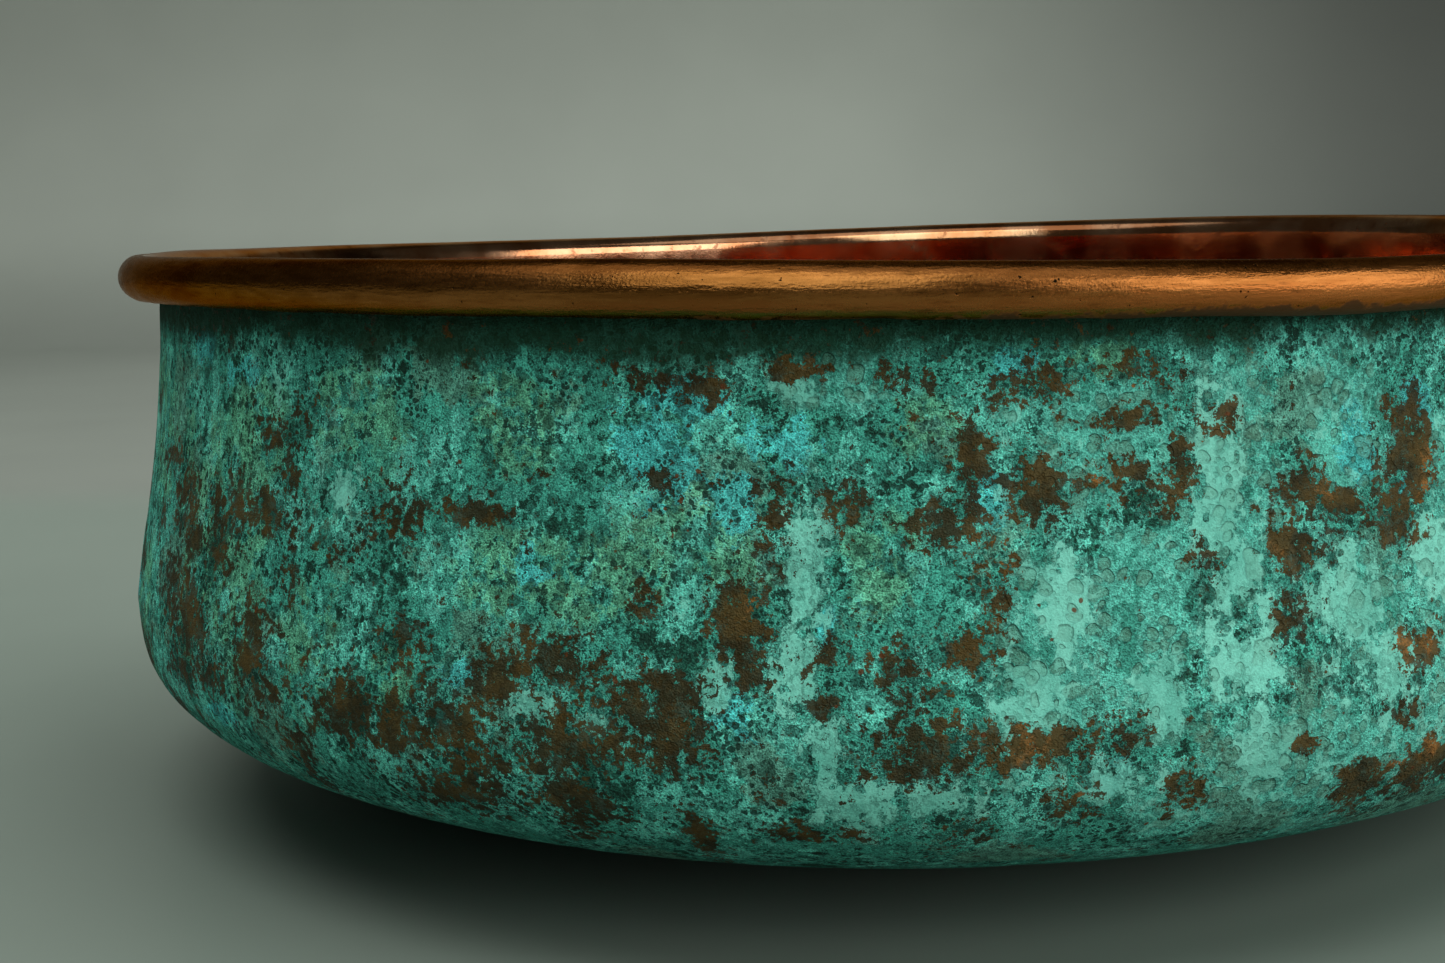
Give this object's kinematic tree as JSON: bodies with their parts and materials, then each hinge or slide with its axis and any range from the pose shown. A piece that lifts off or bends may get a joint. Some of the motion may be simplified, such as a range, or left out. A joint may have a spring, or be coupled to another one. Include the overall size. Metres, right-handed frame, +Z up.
{
  "type": "hammered bowl",
  "caption": "Wide, deep hammered copper bowl with a full belly, a low rounded underside, a flat base and a thick rolled rim closed round a rod.",
  "frame": {"origin": "centre of the flat base, on the surface that the bowl stands on", "axes": "+Z up along the axis of the bowl, from the base to the rim; the bowl is round, so X and Y are free"},
  "size_m": [0.4019, 0.402, 0.134],
  "materials": {
    "verdigris_copper": "hammered copper under a matt, streaked blue-green patina with bare brown patches",
    "inside_copper": "hammered, polished and darkened copper, semi-gloss",
    "rim_bronze": "rubbed bronze brown, satin, with fine scratches along the rim",
    "rod_metal": "drawn rod, dull"
  },
  "bodies": {
    "root": {"bowl_shell": "verdigris_copper", "rim_rod": "rod_metal"}
  },
  "joints": []
}
